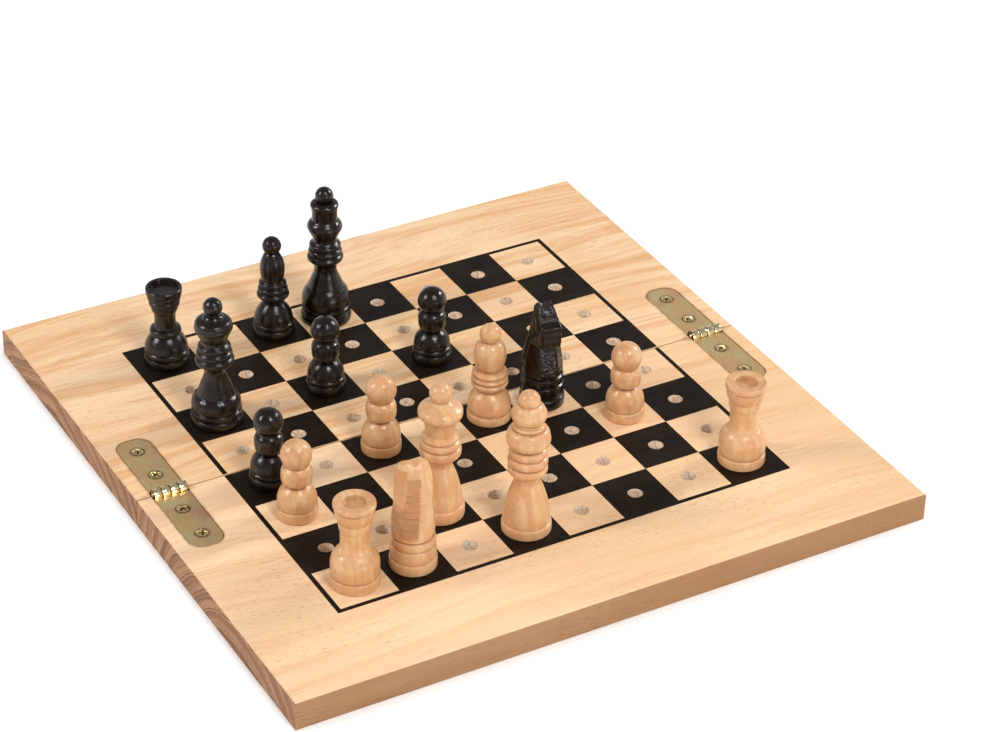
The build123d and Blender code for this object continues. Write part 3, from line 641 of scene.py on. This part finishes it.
white_bishop = turned_profile(foot(7.35, 3.2) + [
    (6.95, 3.6), (7.2, 5.2, 0.05), (4.1, 11.2, 0.85), (5.6, 13.0, -0.15),
] + rings((5.85, 5.75, 5.4), 13.2, 1.85) + [
    (3.9, 19.1), (5.4, 24.2, 0.35), (4.9, 27.2, 0.1), (2.9, 29.5, 0.35), (2.6, 29.7),
] + ball(3.55, 32.2, 2.6))
black_bishop = turned_profile(foot(7.2, 3.2) + [
    (6.75, 3.6), (6.8, 4.8, 0.1), (6.4, 5.1), (6.7, 5.7), (3.3, 12.2, 0.75), (5.0, 14.4, -0.2),
] + rings((5.25, 4.8, 4.4), 14.6, 2.1) + [
    (3.7, 21.1), (4.3, 25.0, 0.1), (2.6, 31.3, 0.5), (2.3, 31.6),
] + ball(3.26, 34.2, 2.2))
turned_man("white_bishop", white_bishop, 4, 3)
turned_man("black_bishop", black_bishop, 2, 7)


# ---- The queens
# Turned and dipped like the others: rings like the bishop's under a flared cup, which a rounded shoulder and
# a ball close. The dark queen is slimmer, with a wider bell below.

white_queen = turned_profile(foot(7.9, 4.5) + [
    (7.4, 4.9), (7.4, 5.8), (6.6, 9.8, 0.08), (3.8, 18.8, 0.3), (3.9, 20.9, -0.05), (5.8, 22.3, -0.15),
    (6.65, 23.6, 0.2), (6.5, 25.6, 0.15), (5.85, 26.0), (6.3, 26.3), (6.1, 28.1, 0.25), (5.5, 28.5),
    (5.8, 28.8), (5.5, 30.0, 0.2), (4.6, 30.4), (5.0, 33.5, -0.05), (5.4, 36.3, -0.05), (6.4, 36.8, 0.05),
    (7.05, 38.4, 0.25), (6.7, 39.8, 0.15), (4.9, 41.0, 0.05), (2.9, 42.2, -0.05),
] + ball(3.55, 45.05, 2.8))
black_queen = turned_profile(foot(8.6, 3.1) + [
    (8.1, 3.5), (8.3, 5.2, 0.12), (7.7, 5.6), (8.2, 6.3), (8.1, 8.2, 0.1), (6.3, 10.9, 0.35),
    (4.4, 16.0, 0.05), (3.5, 19.2, -0.1), (5.1, 22.5, -0.3),
] + rings((6.1, 5.6, 5.1), 22.7, 2.4) + [
    (4.2, 30.2), (4.2, 31.6, -0.1), (5.9, 35.2, 0.1), (6.15, 36.9, 0.3), (4.3, 39.3, 0.6), (3.5, 39.6),
    (2.2, 40.9, 0.2),
] + ball(3.2, 43.6, 2.2))
turned_man("white_queen", white_queen, 2, 1)
turned_man("black_queen", black_queen, 0, 5)


# ---- The kings
# The tallest men, turned and dipped like the others: three rings, a thick collar, a barrel-shaped crown and
# a domed or ball tip in place of a cross, which a lathe can't make.

white_king = turned_profile(foot(7.9, 3.7) + [
    (7.45, 4.1), (7.3, 7.2, 0.03), (4.3, 18.2, 0.35), (4.3, 20.4, -0.05), (5.5, 21.6, -0.1),
] + rings((5.95, 6.0, 5.7), 21.8, 3.1) + [
    (4.9, 31.3), (6.2, 32.2), (7.0, 34.6, 0.25), (6.7, 35.9), (5.4, 37.9, 0.35), (4.6, 38.1), (4.95, 38.5),
    (4.9, 39.4, 0.15), (4.5, 39.7), (4.75, 40.0), (4.7, 40.5, 0.1), (4.4, 40.7), (5.4, 42.2, 0.2),
    (5.2, 44.7, 0.3), (3.5, 46.8, 0.2),
] + ball(3.4, 48.0, 3.15))
black_king = turned_profile(foot(8.6, 3.1) + [
    (8.1, 3.5), (8.4, 5.6, 0.12), (7.8, 6.0), (8.3, 6.6), (8.15, 9.3, 0.1), (6.2, 13.3, 0.35),
    (4.3, 18.0, 0.05), (3.8, 20.4, -0.1), (5.2, 23.4, -0.25),
] + rings((5.9, 5.45, 5.1), 23.6, 2.3) + [
    (4.1, 31.0), (4.1, 32.4, -0.1), (5.7, 35.6, 0.1), (5.9, 37.4, 0.25), (4.7, 39.0, 0.15), (4.4, 39.4),
    (4.4, 41.6), (4.7, 44.2, -0.08), (4.7, 45.4, 0.15), (3.4, 46.3, 0.1),
] + ball(3.15, 48.3, 2.2))
turned_man("white_king", white_king, 3, 0)
turned_man("black_king", black_king, 3, 7)


# ---- The knights
# A turned foot with two more rings carries a head sawn and whittled by hand from the same stick: flat-cut
# chest, cheeks and muzzle, two stub ears, fine saw cuts across the mane, and no more than a few strokes
# of the knife.

KNIGHT_TURNED = turned_profile(foot(7.5, 3.9) + [
    (7.1, 4.2), (7.2, 8.2, 0.1), (6.6, 8.6), (6.9, 8.9), (6.9, 11.4, 0.12), (6.3, 11.8), (6.3, 12.0),
], count=170)[1:-1] / MILLIMETRE
BLANK_HEIGHT, BLANK_RADIUS = (11.8, 12.3, 14.0, 20.0, 25.0, 38.4), (6.3, 6.8, 7.05, 7.0, 9.6, 9.6)
FACE_HEIGHT = (11.8, 15.0, 24.5, 25.5, 27.0, 32.9, 33.9, 34.3, 34.7, 36.9, 38.0, 38.2)
FACE_REACH = (7.6, 6.7, 4.3, 7.5, 8.35, 8.2, 6.1, 5.5, 5.6, 3.0, 1.7, 1.2)
NAPE_HEIGHT, NAPE_REACH = (11.8, 15.0, 20.5, 27.0, 33.5, 36.4, 38.2), (7.6, 6.9, 5.9, 4.3, 2.9, 2.4, 1.0)
STOUT = ((11.8, 14.5, 17.5, 21.0, 24.5, 28.0, 32.0, 35.5, 38.4),
         (6.2, 6.95, 6.9, 6.45, 6.05, 6.05, 6.05, 5.4, 4.5))
SLIM = ((11.8, 15.5, 20.2, 25.6, 30.0, 34.5, 38.4), (7.6, 7.0, 6.1, 4.9, 4.0, 3.3, 2.5))
MANE_HEIGHT, MANE_HALF = (11.8, 20.0, 30.0, 34.0, 38.4), (3.1, 2.75, 2.0, 2.2, 2.8)
CUT_PITCH = 1.25                       # from one saw cut in the mane to the next
HEAD_BOTTOM, HEAD_TOP, CROWN = 12.1, 38.15, 38.3        # the carved rows, and the level between the ears


def flat_cut(turn, angle, reach):
    """How far from the axis, in each direction, a flat cut at the reach lies: reach over the cosine
    between the direction and the cut's own, and far away where the cut is behind."""
    facing = np.cos(angle - turn)
    return np.where(facing > 0.05, reach / np.maximum(facing, 0.05), 60.0)


def whittled_mesh(name, file, rank, heading, twist, sides, cheek, notch):
    """The turned part's rows, then rows up the head. In each direction the skin lies at the least of the
    blank's radius and every flat cut's distance, joined softly, by adding their inverses at a high power.
    Strokes of the knife and the saw are then taken off, and the last rows run in level to close the top,
    under the two ears. The head is turned a little against the neck, by the twist."""
    segments = 168
    angle = np.linspace(0, 2 * math.pi, segments, endpoint=False)[None, :]
    height = np.linspace(HEAD_BOTTOM, HEAD_TOP, 215)[:, None]
    blank, face, nape, side, mane = (np.interp(height, *table) for table in (
        (BLANK_HEIGHT, BLANK_RADIUS), (FACE_HEIGHT, FACE_REACH), (NAPE_HEIGHT, NAPE_REACH), sides,
        (MANE_HEIGHT, MANE_HALF)))
    head = np.clip((height - 24.6) / 0.8, 0, 1)
    diagonal, bevel, muzzle = math.radians(45), math.radians(54), math.radians(78)
    cheek_cut = cheek + 3 * np.clip((27 - height) / 7, 0, 1) ** 2
    chest_corner = face * math.cos(bevel) + (3.0 + 0.6 * head) * math.sin(bevel)
    nape_corner = nape * math.cos(diagonal) + mane * math.sin(diagonal)
    cuts = [blank + 0 * angle, flat_cut(0, angle, face), flat_cut(math.pi, angle, nape)]
    for hand in (-1, 1):
        cuts += [flat_cut(hand * math.pi / 2, angle, side), flat_cut(hand * muzzle, angle, cheek_cut),
                 flat_cut(hand * bevel, angle, chest_corner),
                 flat_cut(hand * (math.pi - diagonal), angle, nape_corner)]
    radius = np.sum([cut ** -30.0 for cut in cuts], axis=0) ** (-1 / 30)

    x, y = radius * np.cos(angle), radius * np.sin(angle)
    at_back = np.clip((mane + 0.25 - abs(y)) / 0.35, 0, 1) * (x < 0)
    at_back = at_back * np.clip((33.6 - height) / 0.3, 0, 1) * np.clip((height - 12.8) / 1.4, 0, 1)
    tooth = (height + 0.13 * y + 0.40 * np.sin(0.9 * height)) / CUT_PITCH
    depth = 0.16 + 0.12 * np.sin(2.9 * np.floor(tooth))
    cut_depth = 0.10 + depth * np.exp(-0.5 * ((tooth % 1 - 0.5) / 0.09) ** 2)
    at_chest = np.clip((x - face + 0.5) / 0.3, 0, 1) * np.clip((24.2 - height) / 1.0, 0, 1)
    wave = height + 0.8 * np.sin(1.3 * y + 0.4 * height) + 0.3 * np.sin(3.1 * y)
    chest_strokes = (0.08 * np.sin(3.6 * wave) + 0.04 * np.sin(6.1 * wave + 2.0 * y)
                     + 0.05 * np.sin(5.3 * y + 0.9 * height))
    head_strokes = 0.06 * np.sin(1.9 * height + 5 * angle) * np.sin(0.8 * height - 3 * angle)
    radius = radius - at_back * cut_depth - at_chest * (chest_strokes + 0.12) - 0.06 - head_strokes

    closing = 16
    shrink = np.linspace(0.96, 0.04, closing)[:, None]
    radii = np.vstack([np.repeat(KNIGHT_TURNED[:, :1], segments, axis=1), radius, radius[-1:] * shrink])
    heights = np.vstack([KNIGHT_TURNED[:, 1:], height, np.full((closing, 1), CROWN)])
    sawn = np.vstack([np.zeros((len(KNIGHT_TURNED), segments)), at_back, np.zeros((closing, segments))])
    x, y, z = np.broadcast_arrays(radii * np.cos(angle), radii * np.sin(angle), heights)
    ears = CROWN - notch * np.exp(-(y / 1.2) ** 2) - 0.35 * np.clip(abs(y) - 1.8, 0, 4)
    z = np.minimum(z, ears)
    turn = np.radians(heading + np.interp(heights, (12, 18, 31, 37), twist))
    c, s = np.cos(turn), np.sin(turn)
    place = np.array(square_middle(file, rank))
    grid = np.stack([c * x - s * y, s * x + c * y, z], axis=-1) * MILLIMETRE + place
    mesh = closed_skin(name, grid, place + (0, 0, PEG[0][1] * MILLIMETRE), grid[-1].mean(0))
    mark_groove_shade(mesh, radii, highest=12.2)
    values = np.concatenate([sawn.reshape(-1), [0, 0]]).astype(np.float32)
    mesh.attributes.new("sawn", "FLOAT", "POINT").data.foreach_set("value", values)
    return mesh


for name, file, rank, heading, twist, sides, cheek, notch in (
        ("white_knight", 1, 0, 68, (-20, -16, -4, 10), STOUT, 6.3, 1.1),
        ("black_knight", 5, 3, -100, (0, 0, 0, 0), SLIM, 5.0, 1.2)):
    set_up(name, whittled_mesh(name, file, rank, heading, twist, sides, cheek, notch))


# ---- The table, the lamps and the camera
# A plain white table in a white room, lit by soft lamps: a tall one on the left, one in front, a small one on
# the right, and a weak low one in front, which the dark men's upright faces reflect.

floor_mesh = bpy.data.meshes.new("table")
reach = 6.0
floor_mesh.from_pydata([(-reach, -reach, 0), (reach, -reach, 0), (reach, reach, 0), (-reach, reach, 0)], [],
                       [(0, 1, 2, 3)])
table = bpy.data.objects.new("table", floor_mesh)
bpy.context.scene.collection.objects.link(table)
white = Finish("white_table")
path = white.add("LightPath", (), "Is Camera Ray").node
camera_ray, glossy_ray, through_ray = (
    path.outputs[ray] for ray in ("Is Camera Ray", "Is Glossy Ray", "Is Transmission Ray"))
seen = white.sum("MAXIMUM", white.sum("MAXIMUM", camera_ray, glossy_ray), through_ray)
plain = white.add("BsdfDiffuse", {"Color": (0.93, 0.93, 0.93, 1)})
glow = white.add("Emission", {"Color": (1, 1, 1, 1), "Strength": white.sum("MULTIPLY", seen, 0.20)})
white.add("OutputMaterial", {"Surface": white.add("AddShader", (plain, glow))})
floor_mesh.materials.append(white.material)

room = Finish("white_room", bpy.data.worlds)
bpy.context.scene.world = room.material
upward = room.add("SeparateXYZ", (room.add("TexCoord", (), "Generated"),), 2)
strength = room.add("MapRange", {
    "Value": upward, "From Min": 0.20, "From Max": 0.85, "To Min": 0.54, "To Max": 0.30},
    interpolation_type="SMOOTHSTEP")
room.add("OutputWorld", {"Surface": room.add("Background", {"Color": (1, 1, 1, 1), "Strength": strength})})


def lamp(name, direction, width, height, power):
    """A soft lamp 1.5 m from the set, which it faces, upright along its height."""
    light = bpy.data.lights.new(name, "AREA")
    light.shape, light.size, light.size_y, light.energy = "RECTANGLE", width, height, power
    holder = bpy.data.objects.new(name, light)
    holder.location = 1.5 * np.array(direction) / np.linalg.norm(direction)
    holder.rotation_euler = holder.location.to_track_quat("Z", "Y").to_euler()
    bpy.context.scene.collection.objects.link(holder)


lamp("left_softbox", (-0.80, 0.22, 0.62), 0.27, 0.44, 8.5)
lamp("front_softbox", (0.02, -0.62, 0.78), 0.26, 0.48, 9.5)
lamp("right_softbox", (0.86, 0.04, 0.52), 0.26, 0.26, 9.4)
lamp("low_softbox", (0.15, -0.98, 0.06), 0.28, 0.28, 4.2)

camera = bpy.data.objects.new("camera", bpy.data.cameras.new("camera"))
bpy.context.scene.collection.objects.link(camera)
right = (0.87340831, -0.48673236, 0.01579622)
down = (-0.25444033, -0.48375271, -0.83740279)
forward = (0.41523251, 0.72737537, -0.54635798)
place = (-0.40889152, -0.74652356, 0.58247767)
rows = [(r, -d, -f, p) for r, d, f, p in zip(right, down, forward, place)]
camera.matrix_world = Matrix(rows + [(0, 0, 0, 1)])
camera.data.sensor_width = 36.0
camera.data.lens = 112.914
camera.data.clip_start, camera.data.clip_end = 0.01, 50
bpy.context.scene.camera = camera
bpy.context.scene.view_settings.view_transform = "Standard"
